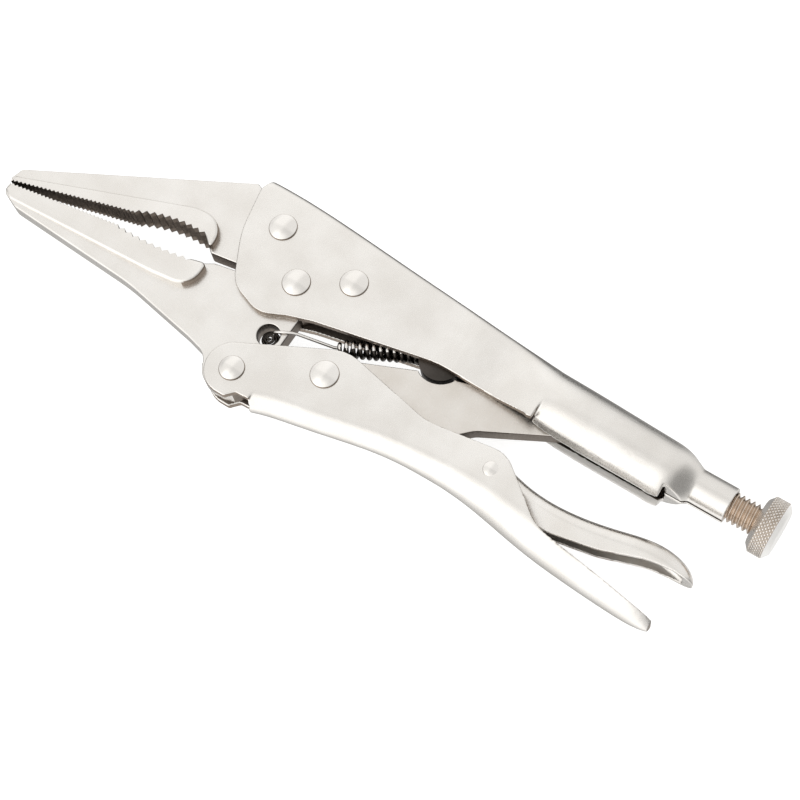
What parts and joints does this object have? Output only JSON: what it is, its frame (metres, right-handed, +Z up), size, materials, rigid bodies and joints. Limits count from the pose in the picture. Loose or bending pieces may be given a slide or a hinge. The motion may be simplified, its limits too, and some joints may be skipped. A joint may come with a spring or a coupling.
{
  "type": "locking pliers",
  "caption": "Long-nose locking pliers with a toggle linkage, release lever and knurled adjusting screw, lying closed and locked on one side.",
  "frame": {"origin": "centre of the bounding box's bottom face, under the tool as it lies on its side", "axes": "+X along the adjusting screw from the jaws to the knob, +Y from the lower handle to the upper handle, +Z up through the tool's thickness"},
  "size_m": [0.2266, 0.0586, 0.0175],
  "materials": {
    "handle_plate": "satin nickel plate on pressed sheet steel",
    "jaw_plate": "satin nickel plate on forged steel",
    "rivet_plate": "polished nickel plate",
    "link_plate": "satin plate on flat steel",
    "lever_plate": "satin nickel plate on pressed sheet steel",
    "screw_steel": "oiled bare steel with a faint copper tint",
    "knob_plate": "nickel plate, diamond knurled rim",
    "spring_steel": "dark oil-tempered spring wire"
  },
  "bodies": {
    "upper_handle": {"upper_handle_shell": "handle_plate", "fixed_jaw": "jaw_plate", "front_jaw_rivet": "rivet_plate", "rear_jaw_rivet": "rivet_plate", "main_pivot_rivet": "rivet_plate", "spring_anchor": "link_plate", "tension_spring": "spring_steel"},
    "lower_jaw": {"lower_jaw": "jaw_plate"},
    "lower_handle": {"lower_handle_shell": "handle_plate", "jaw_handle_rivet": "rivet_plate", "link_rivet": "rivet_plate", "lever_pin": "rivet_plate"},
    "toggle_link": {"toggle_link": "link_plate"},
    "release_lever": {"release_lever": "lever_plate"},
    "screw_tip": {"screw_point": "screw_steel"},
    "adjusting_screw": {"adjusting_screw": "screw_steel", "adjusting_knob": "knob_plate"}
  },
  "joints": [
    {"name": "jaw_pivot", "type": "hinge", "parent": "upper_handle", "child": "lower_jaw", "pos_m": [-0.02604, 0.00685, 0.00875], "axis": [0, 0, 1], "range_deg": [0, 28], "deforming": ["tension_spring"]},
    {"name": "handle_pivot", "type": "hinge", "parent": "lower_jaw", "child": "lower_handle", "pos_m": [-0.02654, -0.02195, 0.00875], "axis": [0, 0, 1], "range_deg": [-93, 0]},
    {"name": "link_pivot", "type": "hinge", "parent": "lower_handle", "child": "toggle_link", "pos_m": [-0.00484, -0.01095, 0.00875], "axis": [0, 0, 1], "range_deg": [0, 88]},
    {"name": "lever_pivot", "type": "hinge", "parent": "lower_handle", "child": "release_lever", "pos_m": [0.04566, -0.01095, 0.00875], "axis": [0, 0, 1], "range_deg": [-8, 0]},
    {"name": "screw_travel", "type": "slide", "parent": "upper_handle", "child": "screw_tip", "axis": [1, 0, 0], "range_m": [0, 0.01129]},
    {"name": "screw_turn", "type": "hinge", "parent": "screw_tip", "child": "adjusting_screw", "pos_m": [0.08896, 0.01335, 0.00875], "axis": [1, 0, 0], "range_deg": [0, 2880]}
  ],
  "couplings": [
    {"joint": "handle_pivot", "follows": "jaw_pivot", "ratio": -3.32},
    {"joint": "link_pivot", "follows": "jaw_pivot", "ratio": 3.14},
    {"joint": "screw_turn", "follows": "screw_travel", "rad_per_m": 4452.6}
  ]
}
